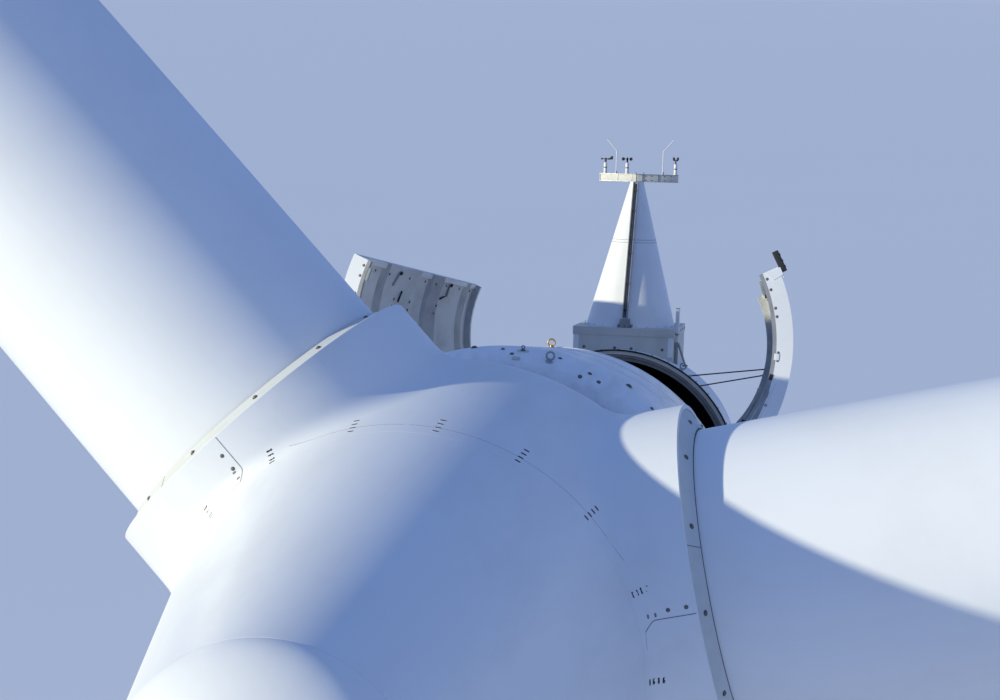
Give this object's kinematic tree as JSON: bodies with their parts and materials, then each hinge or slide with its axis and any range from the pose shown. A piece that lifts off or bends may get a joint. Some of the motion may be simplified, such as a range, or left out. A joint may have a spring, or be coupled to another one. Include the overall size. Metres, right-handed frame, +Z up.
{
  "type": "wind turbine nacelle",
  "caption": "Drop-shaped white wind turbine nacelle with spinner, blade roots, two open roof hatches and a weather mast.",
  "frame": {"origin": "centre of the lower face of the tower flange", "axes": "+Z up along the tower axis, -Y towards the nose of the spinner, +X to the right of someone who faces the nose"},
  "size_m": [17.4962, 22.4461, 17.7197],
  "materials": {
    "white_shell": "satin gelcoat, lightly weathered",
    "blade_gelcoat": "satin gelcoat",
    "root_plate": "matte, bolted",
    "inner_grey": "matte, moulded",
    "cast_steel": "painted casting",
    "galvanised": "galvanised, dull",
    "sensor_white": "satin",
    "sensor_black": "satin",
    "brass_ring": "tarnished"
  },
  "bodies": {
    "nacelle": {"tower_flange": "galvanised", "yaw_collar": "white_shell", "generator_ring_casing": "white_shell", "generator_drum": "cast_steel", "main_axle": "cast_steel", "side_shell_left": "white_shell", "side_shell_right": "white_shell", "rear_frame": "inner_grey", "tail_shell": "white_shell", "mast_plinth": "white_shell", "mast_fairing_left": "white_shell", "mast_fairing_right": "white_shell", "mast_cable_rail": "galvanised", "mast_crossbar": "galvanised", "lightning_rod_left": "galvanised", "lightning_rod_right": "galvanised", "vane_housing": "sensor_white", "anemometer_housing": "sensor_white", "second_sensor": "sensor_white", "plinth_side_post": "galvanised", "eye_ring_front": "brass_ring", "eye_ring_front_low": "galvanised", "eye_ring_rear": "galvanised", "hatch_hinge_left": "galvanised", "hatch_hinge_right": "galvanised", "strut_bracket_left": "cast_steel", "strut_bracket_right": "cast_steel"},
    "rotor": {"nose_cap": "white_shell", "spinner_nose": "white_shell", "spinner_shell": "white_shell", "hub_casting": "cast_steel", "blade_collar_left": "white_shell", "blade_collar_right": "white_shell", "blade_collar_lower": "white_shell", "root_plate_left": "root_plate", "root_plate_right": "root_plate", "root_plate_lower": "root_plate"},
    "blade_left": {"blade_left": "blade_gelcoat"},
    "blade_right": {"blade_right": "blade_gelcoat"},
    "blade_lower": {"blade_lower": "blade_gelcoat"},
    "hatch_left": {"hatch_left": "inner_grey"},
    "hatch_right": {"hatch_right": "inner_grey"},
    "strut_tube_left": {"strut_tube_left": "sensor_black"},
    "strut_tube_right": {"strut_tube_right": "sensor_black"},
    "strut_rod_left": {"strut_rod_left": "galvanised"},
    "strut_rod_right": {"strut_rod_right": "galvanised"},
    "wind_vane": {"wind_vane": "sensor_black"},
    "anemometer_cups": {"anemometer_cups": "sensor_black"}
  },
  "joints": [
    {"name": "rotor_turn", "type": "hinge", "parent": "nacelle", "child": "rotor", "pos_m": [0, -4.28953, 3.79995], "axis": [0, 0.9976, -0.0698], "continuous": true},
    {"name": "pitch_left", "type": "hinge", "parent": "rotor", "child": "blade_left", "pos_m": [-1.37671, -4.63723, 5.27856], "axis": [-0.6884, 0.0506, 0.7236], "range_deg": [0, 90]},
    {"name": "pitch_right", "type": "hinge", "parent": "rotor", "child": "blade_right", "pos_m": [1.94474, -4.70586, 4.2971], "axis": [0.9724, 0.0163, 0.2329], "range_deg": [0, 90]},
    {"name": "pitch_lower", "type": "hinge", "parent": "rotor", "child": "blade_lower", "pos_m": [-0.56803, -4.8722, 1.91837], "axis": [-0.284, -0.0669, -0.9565], "range_deg": [0, 90]},
    {"name": "hatch_left_close", "type": "hinge", "parent": "nacelle", "child": "hatch_left", "pos_m": [-2.25876, 4.95422, 3.88928], "axis": [0.0825, 0.9919, -0.0962], "range_deg": [0, 67]},
    {"name": "strut_left_swing", "type": "hinge", "parent": "nacelle", "child": "strut_tube_left", "pos_m": [-2.2, 2.4275, 4.13221], "axis": [0.0825, 0.9919, -0.0962], "range_deg": [0, 68.49]},
    {"name": "strut_left_slide", "type": "slide", "parent": "strut_tube_left", "child": "strut_rod_left", "axis": [0.4597, -0.1235, -0.8794], "range_m": [0, 0.29405]},
    {"name": "hatch_right_close", "type": "hinge", "parent": "nacelle", "child": "hatch_right", "pos_m": [2.25876, 4.95422, 3.88928], "axis": [0.0825, -0.9919, 0.0962], "range_deg": [0, 64]},
    {"name": "strut_right_swing", "type": "hinge", "parent": "nacelle", "child": "strut_tube_right", "pos_m": [2.2, 2.4275, 4.13221], "axis": [0.0825, -0.9919, 0.0962], "range_deg": [0, 65.75]},
    {"name": "strut_right_slide", "type": "slide", "parent": "strut_tube_right", "child": "strut_rod_right", "axis": [-0.4169, -0.122, -0.9007], "range_m": [0, 0.2815]},
    {"name": "vane_turn", "type": "hinge", "parent": "nacelle", "child": "wind_vane", "pos_m": [-0.594, 9.96171, 8.04147], "axis": [0, 0.0698, 0.9976], "continuous": true},
    {"name": "cups_turn", "type": "hinge", "parent": "nacelle", "child": "anemometer_cups", "pos_m": [-0.186, 9.79727, 8.05297], "axis": [0, 0.0698, 0.9976], "continuous": true}
  ],
  "couplings": [
    {"joint": "strut_left_swing", "follows": "hatch_left_close", "ratio": 1.0221},
    {"joint": "strut_left_slide", "follows": "hatch_left_close", "m_per_rad": 0.25137},
    {"joint": "strut_right_swing", "follows": "hatch_right_close", "ratio": 1.0272},
    {"joint": "strut_right_slide", "follows": "hatch_right_close", "m_per_rad": 0.25192}
  ]
}
